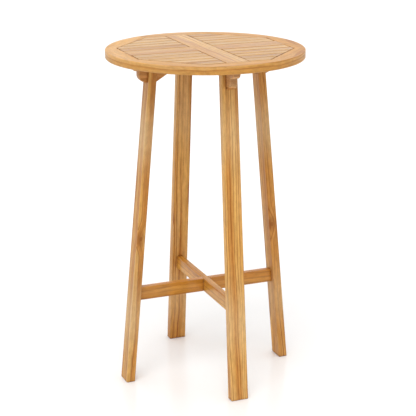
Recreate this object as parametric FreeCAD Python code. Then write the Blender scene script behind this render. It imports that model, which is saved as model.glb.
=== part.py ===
import FreeCAD, Part
import math
import os

from FreeCAD import Vector

# Round slatted bar table in varnished hardwood, in millimetres.
# +Z is up, the floor is z = 0 and the table's upright axis is x = y = 0.
# The left and right legs stand on the X axis, the front and rear legs on the Y axis.

# Whole table
table_height = 1050.0
top_diameter = 610.0
top_thickness = 25.0

# Rim: boards with an arc outside and a straight edge inside, which leave an even-sided opening
rim_board_count = 8
rim_board_width = 54.0
rim_edge_chamfer = 2.0

# Two crossing rails that divide the opening into four bays
rail_width = 70.0
rail_tenon_length = 16.0
rail_tenon_width = 48.0
rail_tenon_thickness = 8.0

# Slats of a bay, side by side from the left-right rail to the rim
slats_per_bay = 5
slat_thickness = 18.0
slat_gap = 3.5
slat_end_gap = 2.5
slat_tongue_reach = 8.0
slat_tongue_thickness = 7.0
small_edge_chamfer = 1.0

# Loose tongues across the joints of the rim
spline_length = 30.0
spline_cover = 5.0
spline_thickness = 6.0

# Legs: boards that splay outwards and grow slightly towards the foot
leg_splay = 95.0
leg_top_thickness = 24.8
leg_top_width = 50.0
leg_foot_thickness = 28.3
leg_foot_width = 56.0
leg_edge_round = 2.5
foot_chamfer = 1.5

# Aprons: crossing boards that pass through the open slots of the leg tops
apron_thickness = 24.0
apron_depth_at_leg = 65.0
apron_depth_at_middle = 28.5
apron_depth_at_end = 28.5
apron_inner_margin = 4.5
apron_outer_margin = 2.5
apron_arch_radius = 60.0
apron_lobe_straight = 12.5
apron_end_step = 23.0
apron_end_inset = 8.5
apron_end_round = 17.0
apron_edge_chamfer = 1.5

# Slope of each apron's underside where it rises from a leg towards the middle, in degrees
left_right_arch_angle = 31
front_rear_arch_angle = 50

# Stretchers: crossing bars between the legs
stretcher_top = 308.5
stretcher_height = 42.5
stretcher_thickness = 21.0
stretcher_edge_round = 2.0
stretcher_tenon_length = 15.0
stretcher_tenon_height = 28.0
stretcher_tenon_thickness = 10.0

# Flat dowels that stand in the two cheeks of each leg top and reach into the rail above
dowel_width = 14.0
dowel_thickness = 6.0
dowel_depth_in_leg = 18.0
dowel_depth_in_rail = 12.0

# Screws, driven upwards from below
screw_diameter = 5.0
screw_head_diameter = 9.0
screw_head_height = 3.0
screw_recess = 8.0
screw_bite = 15.0
apron_screw_offset = 60.0

# Room that a joint leaves: on the faces that slide together, and past the end of a tenon or screw
slide_room = 0.1
end_room = 0.5
# How far a cutting tool runs past the face that it opens
overrun = 5.0

# Levels and places of the top that follow from the sizes above
top_radius = top_diameter / 2
rim_apothem = top_radius - rim_board_width
rail_half_width = rail_width / 2
under_top = table_height - top_thickness
half_board_angle = math.pi / rim_board_count
rim_corner_radius = rim_apothem / math.cos(half_board_angle)
tongue_bottom = table_height - (slat_thickness + slat_tongue_thickness) / 2
tongue_top = tongue_bottom + slat_tongue_thickness
groove_depth = slat_tongue_reach + end_room
groove_bottom = tongue_bottom - slide_room
groove_top = tongue_top + slide_room
slat_width = (rim_apothem - rail_half_width - (slats_per_bay + 1) * slat_gap) / slats_per_bay

# Levels and places of the frame: the apron ends stop short of the rim, and the legs follow them
apron_seat = under_top - apron_depth_at_leg
apron_middle_bottom = under_top - apron_depth_at_middle
apron_end_bottom = under_top - apron_depth_at_end
apron_end = rim_apothem - apron_end_inset
apron_lobe_end = apron_end - apron_end_step
apron_lobe_radius = apron_depth_at_leg - apron_depth_at_end - apron_lobe_straight
apron_lobe_start = apron_lobe_end - apron_lobe_radius
leg_spread_at_seat = leg_splay * apron_depth_at_leg / under_top
leg_top_outer = apron_lobe_start - apron_outer_margin - leg_spread_at_seat
stretcher_bottom = stretcher_top - stretcher_height
stretcher_middle = stretcher_top - stretcher_height / 2

# The turn from the right leg to each leg, in degrees
leg_turns = {"right": 0, "rear": 90, "left": 180, "front": 270}


def leg_outer_at(height):
    """Distance from the table's axis to the outer face of a leg at a height."""
    return leg_top_outer + leg_splay * (under_top - height) / under_top


def leg_inner_at(height):
    """Distance from the table's axis to the inner face of a leg at a height."""
    growth = leg_foot_thickness - leg_top_thickness
    thickness = leg_top_thickness + growth * (under_top - height) / under_top
    return leg_outer_at(height) - thickness


def block(x_low, x_high, y_low, y_high, z_low, z_high):
    """Box between two corners."""
    corner = Vector(x_low, y_low, z_low)
    return Part.makeBox(x_high - x_low, y_high - y_low, z_high - z_low, corner)


def upright_prism(points, z_low, z_high):
    """Prism on a flat outline of (x, y) points, between two heights."""
    corners = [Vector(x, y, z_low) for x, y in points]
    outline = Part.makePolygon(corners + corners[:1])
    return Part.Face(outline).extrude(Vector(0, 0, z_high - z_low))


def opening_prism(apothem, z_low, z_high):
    """Prism of the even-sided shape of the rim's opening, with its flats at the apothem."""
    corner = apothem / math.cos(half_board_angle)
    angles = [half_board_angle * (2 * index + 1) for index in range(rim_board_count)]
    points = [(corner * math.cos(angle), corner * math.sin(angle)) for angle in angles]
    return upright_prism(points, z_low, z_high)


def eased(solid, radius, is_chosen):
    """The solid with the chosen edges rounded."""
    return solid.makeFillet(radius, [edge for edge in solid.Edges if is_chosen(edge)])


def chamfered(solid, size, is_chosen):
    """The solid with the chosen edges cut at an even slope."""
    return solid.makeChamfer(size, [edge for edge in solid.Edges if is_chosen(edge)])


def turned(shape, degrees):
    """A copy turned about the table's upright axis."""
    copy = shape.copy()
    copy.rotate(Vector(0, 0, 0), Vector(0, 0, 1), degrees)
    return copy


def lies_at(edge, height):
    """True for an edge that lies flat at a height."""
    box = edge.BoundBox
    return abs(box.ZMin - height) + abs(box.ZMax - height) < slide_room


def runs_along_x(edge):
    """True for a straight edge along the X axis."""
    box = edge.BoundBox
    return box.XLength > rail_width and box.YLength + box.ZLength < slide_room


def rim_board_blank():
    """One rim board, its middle on +X: straight inner edge, arc outer edge, radial ends."""
    cosine = math.cos(half_board_angle)
    sine = math.sin(half_board_angle)
    inner_low = Vector(rim_apothem, -rim_corner_radius * sine, under_top)
    inner_high = Vector(rim_apothem, rim_corner_radius * sine, under_top)
    outer_low = Vector(top_radius * cosine, -top_radius * sine, under_top)
    outer_high = Vector(top_radius * cosine, top_radius * sine, under_top)
    outer_middle = Vector(top_radius, 0, under_top)
    outline = Part.Wire([
        Part.LineSegment(inner_low, outer_low).toShape(),
        Part.Arc(outer_low, outer_middle, outer_high).toShape(),
        Part.LineSegment(outer_high, inner_high).toShape(),
        Part.LineSegment(inner_high, inner_low).toShape(),
    ])
    board = Part.Face(outline).extrude(Vector(0, 0, top_thickness))
    board = chamfered(board, rim_edge_chamfer, lambda edge: isinstance(edge.Curve, Part.Circle))
    return chamfered(board, small_edge_chamfer, is_rim_inner_top_edge)


def is_rim_inner_top_edge(edge):
    """True for the top edge of a rim board along the opening."""
    inside = abs(edge.BoundBox.XMax - rim_apothem) < slide_room
    return inside and lies_at(edge, table_height)


def rim_spline(room):
    """Loose tongue across the rim joint half a board from +X, with room all round."""
    groove_reach = groove_depth / math.cos(half_board_angle)
    near = rim_corner_radius + groove_reach + spline_cover
    far = top_radius - spline_cover
    level = under_top + top_thickness / 2
    tongue = block(
        near - room, far + room,
        -spline_length / 2 - room, spline_length / 2 + room,
        level - spline_thickness / 2 - room, level + spline_thickness / 2 + room)
    return turned(tongue, math.degrees(half_board_angle))


def rail_tenon(room):
    """Tenon on the +X end of a rail, or with room the mortise that takes it."""
    level = under_top + top_thickness / 2
    reach = rail_tenon_length + (end_room if room else 0)
    return block(
        rim_apothem, rim_apothem + reach,
        -rail_tenon_width / 2 - room, rail_tenon_width / 2 + room,
        level - rail_tenon_thickness / 2 - room, level + rail_tenon_thickness / 2 + room)


def rim_board(carries_rail):
    """Finished rim board on +X: grooved for the slats, slotted for the loose tongues."""
    board = rim_board_blank()
    board = board.cut(opening_prism(rim_apothem + groove_depth, groove_bottom, groove_top))
    joint_angle = math.degrees(2 * half_board_angle)
    board = board.cut(rim_spline(slide_room))
    board = board.cut(turned(rim_spline(slide_room), -joint_angle))
    if carries_rail:
        board = board.cut(rail_tenon(slide_room))
    return board


def rail_blank():
    """Rail along X from rim to rim, with chamfered top edges and a tenon at each end."""
    rail = block(
        -rim_apothem, rim_apothem, -rail_half_width, rail_half_width, under_top, table_height)
    rail = chamfered(rail, small_edge_chamfer,
                     lambda edge: runs_along_x(edge) and lies_at(edge, table_height))
    return rail.fuse([rail_tenon(0), turned(rail_tenon(0), 180)])


def rail_left_right():
    """Rail that is notched from above where the other rail crosses it."""
    notch = block(
        -rail_half_width, rail_half_width, -rail_half_width - overrun, rail_half_width + overrun,
        under_top + top_thickness / 2, table_height + overrun)
    return rail_blank().cut(notch)


def rail_front_rear():
    """Rail that is notched from below, with a groove in each side for the slat tongues."""
    rail = rail_blank()
    notch = block(
        -rail_half_width, rail_half_width, -rail_half_width - overrun, rail_half_width + overrun,
        under_top - overrun, under_top + top_thickness / 2)
    rail = rail.cut(notch)
    for side in (1, -1):
        inner = side * (rail_half_width - groove_depth)
        outer = side * (rail_half_width + overrun)
        for end in (1, -1):
            start = end * rail_half_width
            stop = end * (rim_apothem + overrun)
            rail = rail.cut(block(
                min(start, stop), max(start, stop), min(inner, outer), max(inner, outer),
                groove_bottom, groove_top))
    return turned(rail, 90)


def slat(place):
    """Slat of the rear right bay, counted from the left-right rail, rebated at both ends."""
    y_low = rail_half_width + slat_gap + place * (slat_width + slat_gap)
    y_high = y_low + slat_width
    x_far = top_radius
    body = block(
        rail_half_width + slat_end_gap, x_far, y_low, y_high,
        table_height - slat_thickness, table_height)
    body = body.common(opening_prism(
        rim_apothem - slat_end_gap, table_height - slat_thickness, table_height))
    body = chamfered(body, small_edge_chamfer, lambda edge: lies_at(edge, table_height))
    tongue = block(
        rail_half_width - slat_tongue_reach, x_far, y_low, y_high, tongue_bottom, tongue_top)
    tongue = tongue.common(opening_prism(
        rim_apothem + slat_tongue_reach, tongue_bottom, tongue_top))
    return body.fuse(tongue).removeSplitter()


def mirrored(shape, across_x, across_y):
    """A copy mirrored to another bay of the top."""
    copy = shape.copy()
    if across_x:
        copy = copy.mirror(Vector(0, 0, 0), Vector(1, 0, 0))
    if across_y:
        copy = copy.mirror(Vector(0, 0, 0), Vector(0, 1, 0))
    return copy


def leg_side_view():
    """Slab with the leg's splayed outline as seen from the side, wider than the leg."""
    half_slab = leg_foot_width + leg_top_width
    corners = [
        Vector(leg_inner_at(0), -half_slab, 0),
        Vector(leg_outer_at(0), -half_slab, 0),
        Vector(leg_outer_at(under_top), -half_slab, under_top),
        Vector(leg_inner_at(under_top), -half_slab, under_top),
    ]
    face = Part.Face(Part.makePolygon(corners + corners[:1]))
    return face.extrude(Vector(0, 2 * half_slab, 0))


def leg_front_view():
    """Slab with the leg's tapered outline as seen from outside the table."""
    corners = [
        Vector(0, -leg_foot_width / 2, 0),
        Vector(0, leg_foot_width / 2, 0),
        Vector(0, leg_top_width / 2, under_top),
        Vector(0, -leg_top_width / 2, under_top),
    ]
    face = Part.Face(Part.makePolygon(corners + corners[:1]))
    reach = max(leg_outer_at(0), leg_outer_at(under_top)) + overrun
    return face.extrude(Vector(reach, 0, 0))


def stretcher_tenon(room):
    """Stub tenon on the +X end of a stretcher, or with room the mortise in the leg."""
    half_height = stretcher_tenon_height / 2 + room
    reach = stretcher_tenon_length + (end_room if room else 0)
    back = overrun
    low = stretcher_middle - half_height
    high = stretcher_middle + half_height
    corners = [
        Vector(leg_inner_at(low) - back, 0, low),
        Vector(leg_inner_at(low) + reach, 0, low),
        Vector(leg_inner_at(high) + reach, 0, high),
        Vector(leg_inner_at(high) - back, 0, high),
    ]
    half_thickness = stretcher_tenon_thickness / 2 + room
    face = Part.Face(Part.makePolygon(corners + corners[:1]))
    face.translate(Vector(0, -half_thickness, 0))
    return face.extrude(Vector(0, 2 * half_thickness, 0))


def leg_dowels(room):
    """Flat dowels of the right leg, or with room the slots for them in the leg and the rail."""
    centre = leg_top_outer - leg_top_thickness / 2
    offset = (apron_thickness + leg_top_width) / 4
    below = dowel_depth_in_leg + (end_room if room else 0)
    above = dowel_depth_in_rail + (end_room if room else 0)
    half_width = dowel_width / 2 + room
    half_thickness = dowel_thickness / 2 + room
    return [
        block(
            centre - half_width, centre + half_width,
            side * offset - half_thickness, side * offset + half_thickness,
            under_top - below, under_top + above)
        for side in (1, -1)
    ]


def leg():
    """Right leg: tapered splayed board with an open slot at the top and a mortise lower down."""
    board = leg_side_view().common(leg_front_view())
    board = eased(board, leg_edge_round, lambda edge: edge.BoundBox.ZLength > under_top / 2)
    board = chamfered(board, foot_chamfer, lambda edge: lies_at(edge, 0))
    half_slot = apron_thickness / 2 + slide_room
    slot = block(
        leg_inner_at(under_top) - overrun, leg_outer_at(apron_seat) + overrun, -half_slot, half_slot,
        apron_seat, under_top + overrun)
    board = board.cut(slot)
    board = board.cut(stretcher_tenon(slide_room))
    return board.cut(leg_dowels(slide_room))


def arc_through(centre_x, centre_z, radius, start, stop):
    """Arc in the XZ plane between two angles in degrees, through the middle one."""
    points = []
    for degrees in (start, (start + stop) / 2, stop):
        angle = math.radians(degrees)
        x = centre_x + radius * math.cos(angle)
        z = centre_z + radius * math.sin(angle)
        points.append(Vector(x, 0, z))
    return Part.Arc(*points).toShape()


def apron_half_outline(arch_angle):
    """Edges of the apron's outline on the +X side, from the middle of its bottom to the top."""
    slope_start = leg_inner_at(apron_seat) - apron_inner_margin
    tilt = math.radians(arch_angle)
    slope_end_z = apron_middle_bottom - apron_arch_radius * (1 - math.cos(tilt))
    slope_end = slope_start - (slope_end_z - apron_seat) / math.tan(tilt)
    arch_centre_x = slope_end - apron_arch_radius * math.sin(tilt)
    arch_centre_z = apron_middle_bottom - apron_arch_radius
    lobe_centre_z = apron_seat + apron_lobe_radius
    end_centre_x = apron_end - apron_end_round
    end_centre_z = apron_end_bottom + apron_end_round
    return [
        line(0, apron_middle_bottom, arch_centre_x, apron_middle_bottom),
        arc_through(arch_centre_x, arch_centre_z, apron_arch_radius, 90, 90 - arch_angle),
        line(slope_end, slope_end_z, slope_start, apron_seat),
        line(slope_start, apron_seat, apron_lobe_start, apron_seat),
        arc_through(apron_lobe_start, lobe_centre_z, apron_lobe_radius, -90, 0),
        line(apron_lobe_end, lobe_centre_z, apron_lobe_end, apron_end_bottom),
        line(apron_lobe_end, apron_end_bottom, end_centre_x, apron_end_bottom),
        arc_through(end_centre_x, end_centre_z, apron_end_round, -90, 0),
        line(apron_end, end_centre_z, apron_end, under_top),
        line(apron_end, under_top, 0, under_top),
    ]


def line(x_start, z_start, x_stop, z_stop):
    """Straight edge in the XZ plane."""
    return Part.LineSegment(Vector(x_start, 0, z_start), Vector(x_stop, 0, z_stop)).toShape()


def apron_blank(arch_angle):
    """Apron along X: arched below, with a quarter-round lobe outside each leg and a stepped end."""
    half = apron_half_outline(arch_angle)
    other = [edge.mirror(Vector(0, 0, 0), Vector(1, 0, 0)) for edge in half]
    outline = Part.Wire(Part.__sortEdges__(half + other))
    face = Part.Face(outline)
    face.translate(Vector(0, -apron_thickness / 2, 0))
    board = face.extrude(Vector(0, apron_thickness, 0)).removeSplitter()
    return chamfered(board, apron_edge_chamfer, is_apron_arris)


def is_apron_arris(edge):
    """True for an edge along a side of an apron, except at the top, which meets the rail."""
    box = edge.BoundBox
    on_side = abs(abs(box.Center.y) - apron_thickness / 2) < slide_room and box.YLength < slide_room
    return on_side and not lies_at(edge, under_top)


def apron_lap(z_low, z_high):
    """Notch where the aprons cross."""
    half = apron_thickness / 2 + slide_room
    return block(-half, half, -half - overrun, half + overrun, z_low, z_high)


def aprons():
    """The left-right apron, notched from above, and the front-rear one, notched from below."""
    lap_level = (under_top + apron_middle_bottom) / 2
    left_right = apron_blank(left_right_arch_angle)
    left_right = left_right.cut(apron_lap(lap_level, under_top + overrun))
    front_rear = apron_blank(front_rear_arch_angle)
    front_rear = front_rear.cut(apron_lap(apron_middle_bottom - overrun, lap_level))
    holes = apron_screw_holes()
    return left_right.cut(holes), turned(front_rear.cut(holes), 90)


def apron_screw_holes():
    """Holes along X for the screws that go up through an apron into the rail above."""
    return [
        screw_hole(side * apron_screw_offset, apron_middle_bottom, apron_depth_at_middle)
        for side in (1, -1)
    ]


def screw(x, head_level, length):
    """Screw that points up from the bottom of its head."""
    radius = screw_diameter / 2
    outline = [
        Vector(0, 0, 0),
        Vector(screw_head_diameter / 2, 0, 0),
        Vector(radius, 0, screw_head_height),
        Vector(radius, 0, length),
        Vector(0, 0, length),
    ]
    face = Part.Face(Part.makePolygon(outline + outline[:1]))
    body = face.revolve(Vector(0, 0, 0), Vector(0, 0, 1), 360)
    body.translate(Vector(x, 0, head_level))
    return body


def screw_hole(x, face_level, depth):
    """Stepped hole from a face below, through the depth of the board and into the next one."""
    radius = screw_diameter / 2
    head_level = face_level + screw_recess
    outline = [
        Vector(0, 0, -overrun),
        Vector(screw_head_diameter / 2 + slide_room, 0, -overrun),
        Vector(screw_head_diameter / 2 + slide_room, 0, screw_recess),
        Vector(radius + slide_room, 0, screw_recess + screw_head_height),
        Vector(radius + slide_room, 0, depth + screw_bite + end_room),
        Vector(0, 0, depth + screw_bite + end_room),
    ]
    face = Part.Face(Part.makePolygon(outline + outline[:1]))
    hole = face.revolve(Vector(0, 0, 0), Vector(0, 0, 1), 360)
    hole.translate(Vector(x, 0, head_level - screw_recess))
    return hole


def apron_screws():
    """Screws that hold the aprons to the rails, along both aprons."""
    length = apron_depth_at_middle - screw_recess + screw_bite
    one = screw(apron_screw_offset, apron_middle_bottom + screw_recess, length)
    return [turned(one, degrees) for degrees in leg_turns.values()]


def rails():
    """Both rails, with the holes for the apron screws and the leg dowels."""
    dowel_holes = leg_dowels(slide_room)
    holes = apron_screw_holes() + dowel_holes + [turned(hole, 180) for hole in dowel_holes]
    left_right = rail_left_right().cut(holes)
    front_rear = rail_front_rear().cut([turned(hole, 90) for hole in holes])
    return left_right, front_rear


def stretcher_blank():
    """Stretcher along X, its ends cut to the slope of the legs, with a stub tenon at each."""
    half_thickness = stretcher_thickness / 2
    corners = [
        Vector(-leg_inner_at(stretcher_bottom), -half_thickness, stretcher_bottom),
        Vector(leg_inner_at(stretcher_bottom), -half_thickness, stretcher_bottom),
        Vector(leg_inner_at(stretcher_top), -half_thickness, stretcher_top),
        Vector(-leg_inner_at(stretcher_top), -half_thickness, stretcher_top),
    ]
    face = Part.Face(Part.makePolygon(corners + corners[:1]))
    bar = face.extrude(Vector(0, stretcher_thickness, 0))
    bar = eased(bar, stretcher_edge_round, runs_along_x)
    return bar.fuse([stretcher_tenon(0), turned(stretcher_tenon(0), 180)]).removeSplitter()


def stretcher_lap(z_low, z_high):
    """Notch where the stretchers cross."""
    half = stretcher_thickness / 2 + slide_room
    return block(-half, half, -half - overrun, half + overrun, z_low, z_high)


def stretchers():
    """The left-right stretcher, notched from above, and the front-rear one, from below."""
    left_right = stretcher_blank().cut(stretcher_lap(stretcher_middle, stretcher_top + overrun))
    front_rear = stretcher_blank().cut(stretcher_lap(stretcher_bottom - overrun, stretcher_middle))
    hole = screw_hole(0, stretcher_bottom, stretcher_height / 2)
    return left_right.cut(hole), turned(front_rear.cut(hole), 90)


def stretcher_screw():
    """Screw up through the lower stretcher into the upper one where they cross."""
    length = stretcher_height / 2 - screw_recess + screw_bite
    return screw(0, stretcher_bottom + screw_recess, length)


def save(name, solids):
    """Write one node, a single solid or a group of alike ones."""
    shape = solids[0] if len(solids) == 1 else Part.makeCompound(solids)
    shape.exportStep("parts/" + name + ".step")


def save_top():
    """Rim boards, loose tongues, rails and slats."""
    board_angle = math.degrees(2 * half_board_angle)
    plain_board = rim_board(False)
    rail_board = rim_board(True)
    rail_spacing = rim_board_count // 4
    for index in range(rim_board_count):
        board = plain_board if index % rail_spacing else rail_board
        save("rim_board_" + str(index + 1), [turned(board, index * board_angle)])
    save("rim_splines", [turned(rim_spline(0), index * board_angle) for index in range(rim_board_count)])
    left_right, front_rear = rails()
    save("rail_left_right", [left_right])
    save("rail_front_rear", [front_rear])
    for place in range(slats_per_bay):
        one = slat(place)
        number = str(place + 1)
        save("slat_rear_right_" + number, [one])
        save("slat_rear_left_" + number, [mirrored(one, True, False)])
        save("slat_front_right_" + number, [mirrored(one, False, True)])
        save("slat_front_left_" + number, [mirrored(one, True, True)])


def save_frame():
    """Legs and their dowels, aprons, stretchers and screws."""
    dowels = []
    for place, degrees in leg_turns.items():
        save("leg_" + place, [turned(leg(), degrees)])
        dowels += [turned(dowel, degrees) for dowel in leg_dowels(0)]
    save("leg_dowels", dowels)
    left_right, front_rear = aprons()
    save("apron_left_right", [left_right])
    save("apron_front_rear", [front_rear])
    save("apron_screws", apron_screws())
    left_right, front_rear = stretchers()
    save("stretcher_left_right", [left_right])
    save("stretcher_front_rear", [front_rear])
    save("stretcher_screw", [stretcher_screw()])


os.makedirs("parts", exist_ok=True)
save_top()
save_frame()
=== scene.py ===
import bpy
import math
import random
from mathutils import Matrix, Vector


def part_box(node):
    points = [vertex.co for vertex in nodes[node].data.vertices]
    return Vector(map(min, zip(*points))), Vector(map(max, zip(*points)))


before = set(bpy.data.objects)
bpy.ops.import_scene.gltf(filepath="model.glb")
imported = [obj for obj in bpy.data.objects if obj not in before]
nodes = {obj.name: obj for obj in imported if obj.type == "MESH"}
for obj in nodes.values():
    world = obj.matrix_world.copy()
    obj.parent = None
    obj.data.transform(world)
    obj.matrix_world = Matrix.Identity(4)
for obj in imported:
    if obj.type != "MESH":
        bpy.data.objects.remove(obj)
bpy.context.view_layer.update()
rng = random.Random(11)

# What the frame holds. Places are in metres, and turns round the upright axis in degrees from +X.
RIM_BOARDS = 8
SLATS_PER_BAY = 5
BAYS = ("rear_right", "rear_left", "front_right", "front_left")
LEG_TURNS = {"right": 0, "rear": 90, "left": 180, "front": 270}
RIM_LOW, RIM_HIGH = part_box("rim_board_1")
RIM_MIDDLE = (RIM_LOW.x + RIM_HIGH.x) / 2
TOP_MIDDLE = Vector((0, 0, (RIM_LOW.z + RIM_HIGH.z) / 2))


# Node helpers

class Tree:
    """Adds nodes to a tree and gives their inputs values or links."""

    def __init__(self, tree):
        self.tree = tree

    def node(self, kind, inputs=None, **settings):
        made = self.tree.nodes.new(kind)
        for name, value in settings.items():
            setattr(made, name, value)
        for key, value in (inputs or {}).items():
            self.give(made.inputs[key], value)
        return made

    def give(self, socket, value):
        if isinstance(value, bpy.types.NodeSocket):
            self.tree.links.new(value, socket)
        else:
            socket.default_value = value

    def math(self, operation, *values, clamp=False):
        made = self.node("ShaderNodeMath", operation=operation, use_clamp=clamp)
        for socket, value in zip(made.inputs, values):
            self.give(socket, value)
        return made.outputs[0]

    def plus(self, first, second):
        return self.math("ADD", first, second)

    def minus(self, first, second):
        return self.math("SUBTRACT", first, second)

    def times(self, first, second, clamp=False):
        return self.math("MULTIPLY", first, second, clamp=clamp)

    def vector(self, operation, *values):
        made = self.node("ShaderNodeVectorMath", operation=operation)
        for socket, value in zip(made.inputs, values):
            self.give(socket, value)
        return made.outputs["Value" if operation in ("LENGTH", "DOT_PRODUCT") else "Vector"]

    def split(self, vector):
        return self.node("ShaderNodeSeparateXYZ", {0: vector}).outputs

    def join(self, x=0.0, y=0.0, z=0.0):
        return self.node("ShaderNodeCombineXYZ", {"X": x, "Y": y, "Z": z}).outputs[0]

    def noise(self, vector, detail=2.0, roughness=0.5, output="Fac"):
        made = self.node("ShaderNodeTexNoise", {
            "Vector": vector, "Scale": 1.0, "Detail": detail, "Roughness": roughness})
        return made.outputs[output]

    def pattern(self, place, waves, detail=3.0, roughness=0.6, output="Fac"):
        """Noise with a number of waves per metre along each axis."""
        return self.noise(self.vector("MULTIPLY", place, waves), detail, roughness, output)

    def ramp(self, value, low, high, start=0.0, stop=1.0):
        """Goes smoothly from start to stop while the value goes from low to high."""
        made = self.node("ShaderNodeMapRange", {
            "Value": value, "From Min": low, "From Max": high, "To Min": start, "To Max": stop},
            interpolation_type="SMOOTHSTEP")
        return made.outputs["Result"]

    def mix(self, factor, first, second, blend="MIX"):
        made = self.node("ShaderNodeMix", data_type="RGBA", blend_type=blend)
        for key, value in ((0, factor), (6, first), (7, second)):
            self.give(made.inputs[key], value)
        return made.outputs[2]

    def tint(self, color, other):
        """Multiplies two colours."""
        return self.mix(1.0, color, other, "MULTIPLY")

    def grey(self, value):
        return self.node("ShaderNodeCombineColor", {
            "Red": value, "Green": value, "Blue": value}).outputs[0]


def new_material(name):
    made = bpy.data.materials.new(name)
    made.use_nodes = True
    made.node_tree.nodes.clear()
    return made, Tree(made.node_tree)


# Varnished hardwood: each board is cut from a tree, so its faces show growth rings round a pith

FAR_AWAY = (9.0, 9.0, 9.0)
WOOD_INPUTS = {
    # A point in the board's own axes, in metres, and the way that its grain runs in the frame
    "Board": ("NodeSocketVector", (0.0, 0.0, 0.0)),
    "Axis": ("NodeSocketVector", (1.0, 0.0, 0.0)),
    # The board's own stretch of every pattern, the places of its pith and knot, and rings per metre
    "Shift": ("NodeSocketVector", (0.0, 0.0, 0.0)),
    "Pith": ("NodeSocketVector", (0.0, 0.0, -0.15)),
    "Knot": ("NodeSocketVector", FAR_AWAY),
    "Rings": ("NodeSocketFloat", 120.0),
    # Strength of its dark streaks, brightness, painted sheen that stands in for reflections, and
    # the strength of its arris colour, which is wear with painted light
    "Streaks": ("NodeSocketFloat", 0.6),
    "Tone": ("NodeSocketFloat", 0.5),
    "Pale": ("NodeSocketFloat", 0.0),
    "Wear": ("NodeSocketFloat", 1.0),
    # How open a place has to be to get no painted crevice shade, and how round the arrises look, in
    # metres
    "Stain": ("NodeSocketFloat", 0.74),
    "Rounding": ("NodeSocketFloat", 0.001),
    "Light": ("NodeSocketColor", (0.70, 0.41, 0.125, 1)),
    "Mid": ("NodeSocketColor", (0.53, 0.245, 0.048, 1)),
    "Dark": ("NodeSocketColor", (0.28, 0.082, 0.010, 1)),
    # The arris colour is partly wear and partly painted light: a pale painted highlight, and on the
    # slats and rails a dark painted seam shade
    "Arris": ("NodeSocketColor", (0.70, 0.45, 0.18, 1)),
}
WOOD_OUTPUTS = {
    "Color": "NodeSocketColor", "Roughness": "NodeSocketFloat", "Height": "NodeSocketFloat",
    "Normal": "NodeSocketVector",
}

# Waves per metre of each pattern: along the grain, then twice across it
SWAY_WAVES = (1.6, 7.0, 7.0)
PATCH_WAVES = (3.0, 18.0, 18.0)
SMUDGE_WAVES = (8.0, 22.0, 22.0)
# The next waves break up the arrises' wear and painted highlight
ARRIS_WEAR_AND_SHADING_WAVES = (45.0, 70.0, 70.0)
MOTTLE_WAVES = (35.0, 110.0, 110.0)
FLECK_WAVES = (6.0, 210.0, 210.0)
FIBRE_WAVES = (14.0, 700.0, 700.0)
PORE_WAVES = (70.0, 1800.0, 1800.0)
SPECKLE_WAVES = (900.0, 900.0, 900.0)

# Waves per metre of the patterns that follow the rings: out from the pith, then along the grain
WANDER_WAVES = (30.0, 0.8)
BROAD_WAVES = (55.0, 0.6)
# The strength of a ring's line is drawn anew for each ring, and changes along the grain
STRENGTH_STEP = 3.7
STRENGTH_WAVES = 1.1

# How far the rings sway, and how far a knot pushes them aside, in metres
NOISE_MIDDLE = (0.5, 0.5, 0.5)
SWAY_DEPTH = (0.0, 0.035, 0.035)
KNOT_STRETCH = (0.6, 1.0, 1.0)
KNOT_PUSH = (0.040, 0.0, 0.0, 0.012)
# How far the rings wander, in rings
RING_WANDER = 3.0

# Ramps: the two values that each runs between, and where given what they turn into
RING_RISE = (0.60, 0.90)
RING_FALL = (1.0, 0.96)
RING_STRENGTH = (0.34, 0.56, 0.15, 1.0)
EARLY_WOOD = (0.42, 0.60)
LATE_WOOD = (0.44, 0.32)
FLECKS = (0.50, 0.30)
PATCHES = (0.35, 0.68)
PORES = (0.64, 0.74)
# The painted sheen, which stands in for reflections on the legs, is patchy by the broad bands
PAINTED_SHEEN_BY_BAND = (0.35, 0.60, 0.6, 1.0)
KNOT_EYE = (0.008, 0.003, 0.0, 0.80)
KNOT_HALO = (0.020, 0.008)
KNOT_HALO_STRENGTH = 0.45
LATE_WOOD_STRENGTH = 0.45
RING_LINE_STRENGTH = 1.4
FLECK_STRENGTH = 0.60

FIBRE_SHADE = (0.25, 0.75, 0.90, 1.09)
MOTTLE_SHADE = (0.30, 0.70, 0.90, 1.09)
TONE_SHADE = (0.0, 1.0, 0.70, 1.30)
PORE_SHADE = 0.30
END_GRAIN_FACING = (0.80, 0.95)
END_GRAIN_SHADE = (0.3, 0.7, 0.30, 0.12)

ARRIS_TURN = (0.99, 0.80)
# Patches of the arrises' wear and painted highlight
ARRIS_WEAR_AND_SHADING_PATCHES = (0.35, 0.7, 0.10, 0.55)
# Painted crevice shade: how far the ambient occlusion looks, and how open the place with the
# darkest painted shade is
CREVICE_SHADE_REACH = 0.022
CREVICE_SHADE_DEEPEST = 0.15

SMUDGE_ROUGHNESS = (0.25, 0.75, 0.36, 0.50)
PORE_ROUGHNESS = 0.12
END_GRAIN_ROUGHNESS = 0.4
FIBRE_HEIGHT = 0.5
RING_LINE_DEPTH = 0.3
PORE_DEPTH = 0.8

WARM_TINT = (1.05, 0.96, 0.82, 1)
COOL_TINT = (1.01, 0.99, 1.12, 1)
# Colour of the painted sheen on the legs, a painted reflection
PAINTED_SHEEN_COLOR = (0.72, 0.50, 0.26, 1)
# Colour of the painted crevice shade
CREVICE_SHADE_TINT = (0.40, 0.22, 0.10, 1)
WHITE = (1.0, 1.0, 1.0, 1)


def add_knot_reach(t, given):
    """Distance from the knot, which is drawn out along the grain."""
    from_knot = t.vector("SUBTRACT", given["Board"], given["Knot"])
    return t.vector("LENGTH", t.vector("MULTIPLY", from_knot, KNOT_STRETCH))


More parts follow.
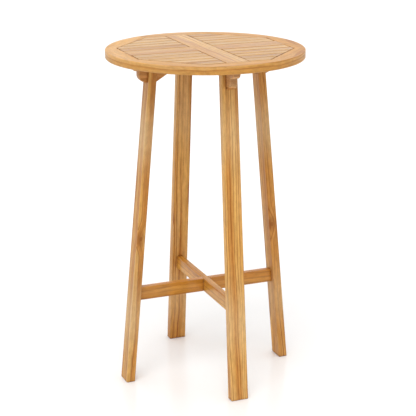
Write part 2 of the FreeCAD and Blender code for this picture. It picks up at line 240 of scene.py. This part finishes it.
def add_radius(t, given, place, knot_reach):
    """Distance from the pith, bent slowly along the board and pushed aside round the knot."""
    sway = t.pattern(place, SWAY_WAVES, roughness=0.5, output="Color")
    sway = t.vector("MULTIPLY", t.vector("SUBTRACT", sway, NOISE_MIDDLE), SWAY_DEPTH)
    bent = t.vector("SUBTRACT", t.vector("ADD", given["Board"], sway), given["Pith"])
    parts = t.split(bent)
    radius = t.vector("LENGTH", t.join(y=parts["Y"], z=parts["Z"]))
    return t.plus(radius, t.ramp(knot_reach, *KNOT_PUSH))


def add_rings(t, given, place, radius):
    """Thin dark lines of uneven strength where growth rings end, and broad bands of colour."""
    along = t.split(place)["X"]
    seed = t.split(given["Shift"])["Z"]

    def by_ring(waves, roughness):
        out, lengthwise = waves
        place = t.join(t.times(radius, out), t.times(along, lengthwise), seed)
        return t.noise(place, detail=2.0, roughness=roughness)

    wander = by_ring(WANDER_WAVES, roughness=0.5)
    phase = t.plus(t.times(radius, given["Rings"]), t.times(wander, RING_WANDER))
    ring = t.math("FRACT", phase)
    line = t.times(t.ramp(ring, *RING_RISE), t.ramp(ring, *RING_FALL))
    count = t.times(t.math("FLOOR", phase), STRENGTH_STEP)
    strength = t.noise(t.join(count, t.times(along, STRENGTH_WAVES), seed), detail=1.0)
    line = t.times(line, t.ramp(strength, *RING_STRENGTH))
    return t.times(line, given["Streaks"]), by_ring(BROAD_WAVES, roughness=0.6)


def add_color(t, given, place, knot_reach, line, broad):
    """Light and dark wood, ring lines, flecks, warm and cool patches, a painted sheen that stands
    in for reflections, and the knot.
    """
    color = t.mix(t.ramp(broad, *EARLY_WOOD), given["Mid"], given["Light"])
    late = t.times(t.ramp(broad, *LATE_WOOD), given["Streaks"])
    color = t.mix(t.times(late, LATE_WOOD_STRENGTH), color, given["Dark"])
    color = t.mix(t.times(line, RING_LINE_STRENGTH, clamp=True), color, given["Dark"])
    fleck = t.ramp(t.pattern(place, FLECK_WAVES, detail=2.0), *FLECKS)
    fleck = t.times(fleck, given["Streaks"])
    color = t.mix(t.times(fleck, FLECK_STRENGTH), color, given["Dark"])
    patch = t.ramp(t.pattern(place, PATCH_WAVES, detail=2.0, roughness=0.5), *PATCHES)
    color = t.tint(color, t.mix(patch, WARM_TINT, COOL_TINT))
    # Painted sheen: paler colour standing in for reflections on the legs
    painted_sheen = t.times(given["Pale"], t.ramp(broad, *PAINTED_SHEEN_BY_BAND))
    color = t.mix(painted_sheen, color, PAINTED_SHEEN_COLOR)
    eye = t.ramp(knot_reach, *KNOT_EYE)
    halo = t.times(t.ramp(knot_reach, *KNOT_HALO), KNOT_HALO_STRENGTH)
    return t.mix(t.math("MAXIMUM", eye, halo), color, given["Dark"])


def add_shade(t, given, place, fibres, pores, end_grain):
    """Brightness of the board, its fibres, pores, mottling and end grain."""
    shade = t.times(t.ramp(fibres, *FIBRE_SHADE), t.ramp(given["Tone"], *TONE_SHADE))
    shade = t.times(shade, t.minus(1.0, t.times(pores, PORE_SHADE)))
    shade = t.times(shade, t.ramp(t.pattern(place, MOTTLE_WAVES), *MOTTLE_SHADE))
    return t.times(shade, t.minus(1.0, end_grain))


def build_wood_group():
    group = bpy.data.node_groups.new("varnished_hardwood", "ShaderNodeTree")
    for name, (kind, value) in WOOD_INPUTS.items():
        made = group.interface.new_socket(name, in_out="INPUT", socket_type=kind)
        made.default_value = value
    for name, kind in WOOD_OUTPUTS.items():
        group.interface.new_socket(name, in_out="OUTPUT", socket_type=kind)
    t = Tree(group)
    given = t.node("NodeGroupInput").outputs
    place = t.vector("ADD", given["Board"], given["Shift"])

    knot_reach = add_knot_reach(t, given)
    radius = add_radius(t, given, place, knot_reach)
    line, broad = add_rings(t, given, place, radius)
    color = add_color(t, given, place, knot_reach, line, broad)

    # End grain is darker and speckled
    flat_normal = t.node("ShaderNodeNewGeometry").outputs["Normal"]
    facing = t.math("ABSOLUTE", t.vector("DOT_PRODUCT", flat_normal, given["Axis"]))
    speckle = t.ramp(t.pattern(place, SPECKLE_WAVES, detail=2.0), *END_GRAIN_SHADE)
    end_grain = t.times(t.ramp(facing, *END_GRAIN_FACING), speckle)
    fibres = t.pattern(place, FIBRE_WAVES)
    pores = t.ramp(t.pattern(place, PORE_WAVES, detail=1.0, roughness=0.5), *PORES)
    color = t.tint(color, t.grey(add_shade(t, given, place, fibres, pores, end_grain)))

    # The arrises get another colour: partly rubbed wear and a painted highlight, and on the slats
    # and rails a dark painted shade that draws the seams
    soft_normal = t.node("ShaderNodeBevel", {"Radius": given["Rounding"]}, samples=8).outputs[0]
    arris_wear_and_shading = t.ramp(t.vector("DOT_PRODUCT", soft_normal, flat_normal), *ARRIS_TURN)
    arris_wear_and_shading = t.times(arris_wear_and_shading, t.ramp(t.pattern(place, ARRIS_WEAR_AND_SHADING_WAVES), *ARRIS_WEAR_AND_SHADING_PATCHES))
    color = t.mix(t.times(arris_wear_and_shading, given["Wear"], clamp=True), color, given["Arris"])

    # Crevices get a darker, redder painted shade from ambient occlusion
    open_air = t.node("ShaderNodeAmbientOcclusion", {"Distance": CREVICE_SHADE_REACH}, samples=8)
    open_air = t.ramp(open_air.outputs["AO"], CREVICE_SHADE_DEEPEST, given["Stain"])
    color = t.tint(color, t.mix(open_air, CREVICE_SHADE_TINT, WHITE))

    rough = t.ramp(t.pattern(place, SMUDGE_WAVES), *SMUDGE_ROUGHNESS)
    rough = t.plus(rough, t.times(pores, PORE_ROUGHNESS))
    rough = t.plus(rough, t.times(end_grain, END_GRAIN_ROUGHNESS))
    height = t.minus(t.times(fibres, FIBRE_HEIGHT), t.times(line, RING_LINE_DEPTH))
    height = t.minus(height, t.times(pores, PORE_DEPTH))
    done = t.node("NodeGroupOutput").inputs
    for name, value in (("Color", color), ("Roughness", rough), ("Height", height),
                        ("Normal", soft_normal)):
        t.give(done[name], value)
    return group


WOOD = build_wood_group()

# How far a painted sheen, which stands in for reflections on a leg, reaches up and down, and how
# deep the bumps of the grain are
PAINTED_SHEEN_REACH = 0.15
GRAIN_DEPTH = 0.0006
GRAIN_STRENGTH = 0.3
# A board's pith lies to one side of it and below it, and boards come from different places
PITH_ASIDE = (0.04, 0.12)
PITH_BELOW = (0.02, 0.10)
SHIFT_REACH = 8


def painted_sheens(t, height, bands):
    """Strength of the painted sheen, which stands in for reflections, from two pairs of a height in
    metres and a strength.
    """
    strengths = []
    for level, strength in bands:
        off_level = t.math("ABSOLUTE", t.minus(height, level))
        strengths.append(t.ramp(off_level, PAINTED_SHEEN_REACH, 0.0, 0.0, strength))
    return t.math("MAXIMUM", *strengths)


def wood(name, centre, rotation, coat=0.2, pale_bands=None, **looks):
    """A board's own material: its grain runs along the board's first axis."""
    made, t = new_material(name)
    place = t.node("ShaderNodeTexCoord").outputs["Object"]
    board = t.node("ShaderNodeMapping", {
        "Vector": place, "Location": centre, "Rotation": rotation.to_euler()},
        vector_type="TEXTURE").outputs[0]
    inputs = {
        "Board": board, "Axis": rotation @ Vector((1, 0, 0)),
        "Shift": [rng.uniform(-SHIFT_REACH, SHIFT_REACH) for _ in range(3)],
        "Pith": (0, rng.choice((-1, 1)) * rng.uniform(*PITH_ASIDE), -rng.uniform(*PITH_BELOW))}
    if pale_bands:
        inputs["Pale"] = painted_sheens(t, t.split(place)["Z"], pale_bands)
    inputs.update(looks)
    grain = t.node("ShaderNodeGroup", node_tree=WOOD)
    for key, value in inputs.items():
        t.give(grain.inputs[key], value)
    bumped = t.node("ShaderNodeBump", {
        "Strength": GRAIN_STRENGTH, "Distance": GRAIN_DEPTH, "Height": grain.outputs["Height"],
        "Normal": grain.outputs["Normal"]}).outputs[0]
    shader = t.node("ShaderNodeBsdfPrincipled", {
        "Base Color": grain.outputs["Color"], "Roughness": grain.outputs["Roughness"],
        "Normal": bumped, "Specular IOR Level": 0.12, "Coat Weight": coat,
        "Coat Roughness": 0.15, "Coat IOR": 1.5, "Coat Normal": grain.outputs["Normal"]})
    t.node("ShaderNodeOutputMaterial", {"Surface": shader.outputs[0]})
    return made


def dress(name, material):
    """Gives a node its material."""
    data = nodes[name].data
    data.materials.clear()
    data.materials.append(material)


def turn(degrees):
    return Matrix.Rotation(math.radians(degrees), 3, "Z")


# The top

# It is a little yellower than the frame
TOP_COLORS = dict(Light=(0.68, 0.405, 0.105, 1), Mid=(0.55, 0.275, 0.040, 1))
# Slats and rails have finer rings, and dark painted shade in their arrises and crevices, which
# draws the seams
INSIDE_LOOK = dict(
    coat=0.4, Rings=200.0, Arris=(0.20, 0.075, 0.012, 1), Wear=2.2, Stain=0.98, Rounding=0.003,
    **TOP_COLORS)
RAIL_LOOK = dict(Streaks=0.50, Tone=0.40, Pith=(0, 0.05, -0.10), **INSIDE_LOOK)
SLAT_STREAKS = (0.35, 0.60)
SLAT_TONES = (0.25, 0.38)

RIM_LOOK = dict(
    coat=0.15, Streaks=0.35, Tone=0.42, Pith=(0, -0.03, -0.14), Light=(0.645, 0.375, 0.125, 1),
    Mid=(0.575, 0.305, 0.080, 1))
RIM_BOARD_LENGTH = 2 * RIM_MIDDLE * math.tan(math.pi / RIM_BOARDS)
# The shared grain of the rim begins at this board, so its ends meet behind, away from the camera
RIM_GRAIN_START = 3
RIM_GRAIN_DEPTH = (2.3, 5.1)


def dress_rim():
    """Rim boards share one stretch of grain, which follows the rim and kinks at each joint."""
    for index in range(RIM_BOARDS):
        name = "rim_board_%d" % (index + 1)
        degrees = 360 / RIM_BOARDS * index
        middle = turn(degrees) @ (Vector((RIM_MIDDLE, 0, 0)) + TOP_MIDDLE)
        along = (index - RIM_GRAIN_START) % RIM_BOARDS * RIM_BOARD_LENGTH
        shift = (along, *RIM_GRAIN_DEPTH)
        dress(name, wood(name, middle, turn(degrees + 90), Shift=shift, **RIM_LOOK))


def dress_inside_top():
    """Rails and slats. Each slat is a little lighter or darker than its neighbours."""
    for name, degrees in (("rail_left_right", 0), ("rail_front_rear", 90)):
        dress(name, wood(name, TOP_MIDDLE, turn(degrees), **RAIL_LOOK))
    for bay in BAYS:
        for place in range(1, SLATS_PER_BAY + 1):
            name = "slat_%s_%d" % (bay, place)
            low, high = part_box(name)
            dress(name, wood(
                name, (low + high) / 2, turn(0), Streaks=rng.uniform(*SLAT_STREAKS),
                Tone=rng.uniform(*SLAT_TONES), **INSIDE_LOOK))


# Legs

YELLOWER = dict(Light=(0.70, 0.42, 0.13, 1), Mid=(0.55, 0.26, 0.060, 1))
# The painted sheens of each leg, which stand in for reflections, are pairs of a height in metres
# and a strength
LEG_LOOKS = {
    "right": dict(
        Streaks=0.60, Tone=0.40, pale_bands=((0.22, 0.50), (0.79, 0.65)), **YELLOWER),
    "rear": dict(
        Streaks=0.75, Tone=0.41, pale_bands=((0.16, 0.50), (0.79, 0.20))),
    "left": dict(
        Streaks=0.55, Tone=0.38, pale_bands=((0.22, 0.50), (0.80, 0.75)), **YELLOWER),
    "front": dict(
        Streaks=0.55, Tone=0.430, pale_bands=((0.24, 0.40), (0.83, 0.36)), Pith=(0, 0.10, -0.06),
        Light=(0.70, 0.42, 0.13, 1), Mid=(0.58, 0.285, 0.070, 1)),
}
# Small knots on the front faces of two legs, in metres
LEG_KNOTS = {
    "left": Vector((-0.226, -0.0265, 0.474)),
    "right": Vector((0.2206, -0.0265, 0.4687)),
}
# Half the thickness of a leg, in metres
HALF_LEG_AT_FOOT = 0.014
HALF_LEG_AT_TOP = 0.012


def dress_legs():
    """Each leg's grain runs up along the middle of its sloping board."""
    for place, degrees in LEG_TURNS.items():
        name = "leg_" + place
        low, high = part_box(name)
        back = turn(-degrees)
        corners = [back @ low, back @ high]
        inner = min(corner.x for corner in corners)
        outer = max(corner.x for corner in corners)
        foot = Vector((outer - HALF_LEG_AT_FOOT, 0, 0))
        top = Vector((inner + HALF_LEG_AT_TOP, 0, high.z))
        up = (top - foot).normalized()
        side = Vector((0, 1, 0))
        leaning = Matrix((up, side, up.cross(side))).transposed()
        middle = turn(degrees) @ ((foot + top) / 2)
        rotation = turn(degrees) @ leaning
        look = dict(LEG_LOOKS[place])
        if place in LEG_KNOTS:
            look["Knot"] = rotation.transposed() @ (LEG_KNOTS[place] - middle)
        dress(name, wood(name, middle, rotation, coat=0.12, Wear=1.5, Rounding=0.002, **look))


# Aprons, stretchers and hidden pieces

# The arrises of the aprons and stretchers are well rubbed and carry a pale painted highlight
WORN_AND_HIGHLIT_ARRIS = dict(Arris=(0.85, 0.62, 0.36, 1), Wear=1.6, Rounding=0.004)
CROSSING_LOOKS = {
    "apron_left_right": dict(
        Streaks=0.35, Tone=0.49, Pith=(0, 0.04, -0.16), Light=(0.60, 0.32, 0.11, 1),
        Mid=(0.54, 0.26, 0.07, 1)),
    "apron_front_rear": dict(
        Streaks=0.25, Tone=0.43, Pith=(0, 0.03, -0.16), Light=(0.62, 0.35, 0.14, 1),
        Mid=(0.50, 0.23, 0.06, 1)),
    "stretcher_left_right": dict(
        coat=0.55, Streaks=0.25, Tone=0.30, Light=(0.64, 0.30, 0.05, 1),
        Mid=(0.56, 0.24, 0.028, 1)),
    "stretcher_front_rear": dict(
        coat=0.45, Streaks=0.35, Tone=0.40, Light=(0.66, 0.35, 0.060, 1),
        Mid=(0.57, 0.26, 0.030, 1)),
}
BARE_WOOD = dict(
    coat=0.0, Streaks=0.2, Tone=0.7, Light=(0.70, 0.50, 0.28, 1), Mid=(0.62, 0.42, 0.22, 1),
    Dark=(0.45, 0.28, 0.13, 1))

TURNING_WAVES = (400.0, 400.0, 2500.0)
TARNISH_WAVES = (180.0, 180.0, 180.0)
TARNISH = (0.35, 0.7)
STEEL_COLOR = (0.62, 0.60, 0.54, 1)
TARNISHED_COLOR = (0.42, 0.40, 0.36, 1)
STEEL_ROUGHNESS = (0.2, 0.8, 0.28, 0.45)


def dress_crossing_boards():
    """Aprons and stretchers, one along X and one along Y."""
    for name, look in CROSSING_LOOKS.items():
        low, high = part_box(name)
        degrees = 0 if name.endswith("left_right") else 90
        dress(name, wood(name, (low + high) / 2, turn(degrees), **look, **WORN_AND_HIGHLIT_ARRIS))


def dress_joinery():
    """The hidden tongues and dowels are of bare pale wood."""
    for name in ("rim_splines", "leg_dowels"):
        dress(name, wood(name, TOP_MIDDLE, turn(0), **BARE_WOOD))


def steel(name):
    """Plated screw steel with fine turning marks."""
    made, t = new_material(name)
    place = t.node("ShaderNodeTexCoord").outputs["Object"]
    marks = t.pattern(place, TURNING_WAVES)
    tarnish = t.ramp(t.pattern(place, TARNISH_WAVES), *TARNISH)
    bumped = t.node("ShaderNodeBump", {
        "Strength": 0.3, "Distance": 0.0002, "Height": marks}).outputs[0]
    shader = t.node("ShaderNodeBsdfPrincipled", {
        "Base Color": t.mix(tarnish, STEEL_COLOR, TARNISHED_COLOR),
        "Roughness": t.ramp(marks, *STEEL_ROUGHNESS), "Metallic": 1.0, "Normal": bumped})
    t.node("ShaderNodeOutputMaterial", {"Surface": shader.outputs[0]})
    return made


def dress_screws():
    screw_steel = steel("screw_steel")
    dress("apron_screws", screw_steel)
    dress("stretcher_screw", screw_steel)


# Floor, light and camera

FLOOR_HALF_SIZE = 30.0
CLOUD_WAVES = (0.7, 0.7, 0.7)
CLOUDS = (0.3, 0.7)
PAPER = (0.835, 0.835, 0.835, 1)
PALER_PAPER = (0.855, 0.855, 0.85, 1)

# Strength of the studio by the upward part of a direction
CEILING = (0.0, 0.6, 0.50, 1.15)
HORIZON = (0.10, 0.0, 0.0, 0.5)
BACKDROP_HEIGHT = (0.40, 0.20)
# Strength of the backdrop by the part of a direction that goes back, along +Y
BACKDROP = (0.0, 0.8, 0.0, 0.5)
LAMP_WIDTH = 40
LAMP_STRENGTH = 1.1
TOWARDS_LAMP = Vector((-0.30, -0.42, 0.86))

# The camera, fitted to the photograph: sizes in pixels, places in metres, angles in degrees
PICTURE_WIDTH = 416.0
FOCAL_LENGTH = 1293.0
SENSOR_WIDTH_MM = 36.0
CAMERA_DISTANCE = 3.9045
CAMERA_HEIGHT = 1.7363
CAMERA_BEARING = 22.205
CAMERA_HEADING = 22.325
CAMERA_TILT = 17.025


def build_floor():
    """Wide plain floor of smooth white paper."""
    size = FLOOR_HALF_SIZE
    mesh = bpy.data.meshes.new("floor")
    corners = [(-size, -size, 0), (size, -size, 0), (size, size, 0), (-size, size, 0)]
    mesh.from_pydata(corners, [], [(0, 1, 2, 3)])
    floor = bpy.data.objects.new("floor", mesh)
    bpy.context.scene.collection.objects.link(floor)
    made, t = new_material("floor_paper")
    place = t.node("ShaderNodeTexCoord").outputs["Object"]
    cloud = t.ramp(t.pattern(place, CLOUD_WAVES, roughness=0.5), *CLOUDS)
    shader = t.node("ShaderNodeBsdfPrincipled", {
        "Base Color": t.mix(cloud, PAPER, PALER_PAPER), "Roughness": 0.22,
        "Specular IOR Level": 0.35})
    t.node("ShaderNodeOutputMaterial", {"Surface": shader.outputs[0]})
    mesh.materials.append(made)


def build_light():
    """White studio all round, with one very soft lamp high on the left."""
    world = bpy.data.worlds.new("studio")
    bpy.context.scene.world = world
    world.use_nodes = True
    t = Tree(world.node_tree)
    way = t.split(t.node("ShaderNodeTexCoord").outputs["Generated"])
    backdrop = t.times(t.ramp(way["Y"], *BACKDROP), t.ramp(way["Z"], *BACKDROP_HEIGHT))
    strength = t.plus(t.ramp(way["Z"], *CEILING), backdrop)
    strength = t.plus(strength, t.ramp(way["Z"], *HORIZON))
    background = world.node_tree.nodes["Background"].inputs
    background["Color"].default_value = WHITE
    t.give(background["Strength"], strength)
    key = bpy.data.lights.new("key", "SUN")
    key.angle = math.radians(LAMP_WIDTH)
    key.energy = LAMP_STRENGTH
    lamp = bpy.data.objects.new("key", key)
    lamp.rotation_euler = TOWARDS_LAMP.to_track_quat("Z", "Y").to_euler()
    bpy.context.scene.collection.objects.link(lamp)


def build_camera():
    """The photograph's camera: about 3.9 m away at eye height, looking slightly down."""
    data = bpy.data.cameras.new("camera")
    data.sensor_width = SENSOR_WIDTH_MM
    data.lens = FOCAL_LENGTH / PICTURE_WIDTH * SENSOR_WIDTH_MM
    camera = bpy.data.objects.new("camera", data)
    bearing = math.radians(CAMERA_BEARING)
    camera.location = (
        -math.sin(bearing) * CAMERA_DISTANCE, -math.cos(bearing) * CAMERA_DISTANCE, CAMERA_HEIGHT)
    camera.rotation_euler = (math.radians(90.0 - CAMERA_TILT), 0, -math.radians(CAMERA_HEADING))
    bpy.context.scene.collection.objects.link(camera)
    bpy.context.scene.camera = camera


dress_rim()
dress_inside_top()
dress_legs()
dress_crossing_boards()
dress_joinery()
dress_screws()
build_floor()
build_light()
build_camera()
bpy.context.scene.view_settings.view_transform = "Standard"
